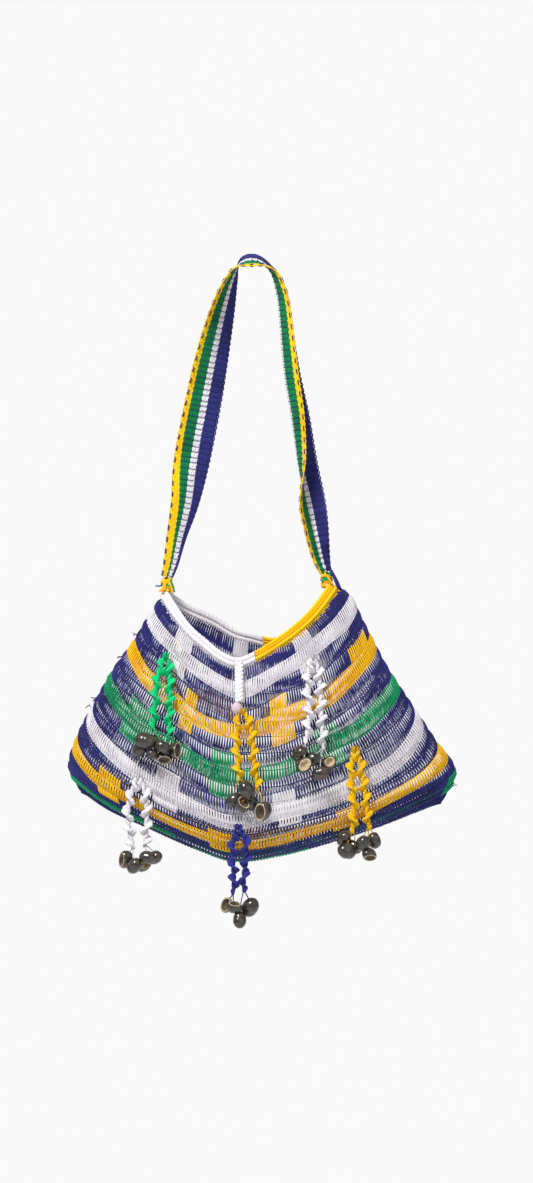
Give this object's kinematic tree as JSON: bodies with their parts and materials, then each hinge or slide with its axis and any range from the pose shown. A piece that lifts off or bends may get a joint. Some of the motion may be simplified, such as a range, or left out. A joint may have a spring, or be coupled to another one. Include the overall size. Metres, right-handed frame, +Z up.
{
  "type": "bilum string bag",
  "caption": "Looped-string shoulder bag hanging from its striped strap, with coloured rows of net, bound mouth and tassels ending in seed shells.",
  "frame": {"origin": "underside of the top of the strap, where a hand or hook holds the bag", "axes": "+Z up, +X to the right, the front of the bag faces -Y"},
  "size_m": [0.3686, 0.12, 0.6346],
  "materials": {
    "net_yarn": "soft matte looped string, navy with rows of white, yellow and green",
    "binding_white": "soft matte cord welts",
    "binding_yellow": "soft matte cord welts",
    "strap_band": "looped band in four stripes: yellow, green, white and navy",
    "tie_yarn": "yarn wraps",
    "tassel_green": "crocheted ribbon cord",
    "tassel_yellow": "crocheted ribbon cord",
    "tassel_white": "crocheted ribbon cord",
    "tassel_navy": "crocheted ribbon cord",
    "braid_white": "flat braid",
    "seed_shell": "glossy dark nut shell, cream where cut"
  },
  "bodies": {
    "root": {"centre_knob": "braid_white", "centre_tab": "braid_white", "mouth_binding_white": "binding_white", "mouth_binding_yellow": "binding_yellow", "net_pouch": "net_yarn", "seed_1_1": "seed_shell", "seed_1_2": "seed_shell", "seed_1_3": "seed_shell", "seed_1_4": "seed_shell", "seed_1_5": "seed_shell", "seed_1_6": "seed_shell", "seed_1_7": "seed_shell", "seed_2_1": "seed_shell", "seed_2_2": "seed_shell", "seed_2_3": "seed_shell", "seed_2_4": "seed_shell", "seed_2_5": "seed_shell", "seed_3_1": "seed_shell", "seed_3_2": "seed_shell", "seed_3_3": "seed_shell", "seed_3_4": "seed_shell", "seed_3_5": "seed_shell", "seed_4_1": "seed_shell", "seed_4_2": "seed_shell", "seed_4_3": "seed_shell", "seed_4_4": "seed_shell", "seed_4_5": "seed_shell", "seed_5_1": "seed_shell", "seed_5_2": "seed_shell", "seed_5_3": "seed_shell", "seed_5_4": "seed_shell", "seed_6_1": "seed_shell", "seed_6_2": "seed_shell", "seed_6_3": "seed_shell", "seed_6_4": "seed_shell", "seed_6_5": "seed_shell", "seed_6_6": "seed_shell", "strap": "strap_band", "strap_tie_left": "tie_yarn", "strap_tie_right": "tie_yarn", "tassel_1_left": "tassel_green", "tassel_1_right": "tassel_green", "tassel_2_left": "tassel_yellow", "tassel_2_right": "tassel_yellow", "tassel_3_left": "tassel_white", "tassel_3_right": "tassel_white", "tassel_4_left": "tassel_white", "tassel_4_right": "tassel_white", "tassel_5_left": "tassel_navy", "tassel_5_right": "tassel_navy", "tassel_6_left": "tassel_yellow", "tassel_6_right": "tassel_yellow"}
  },
  "joints": []
}
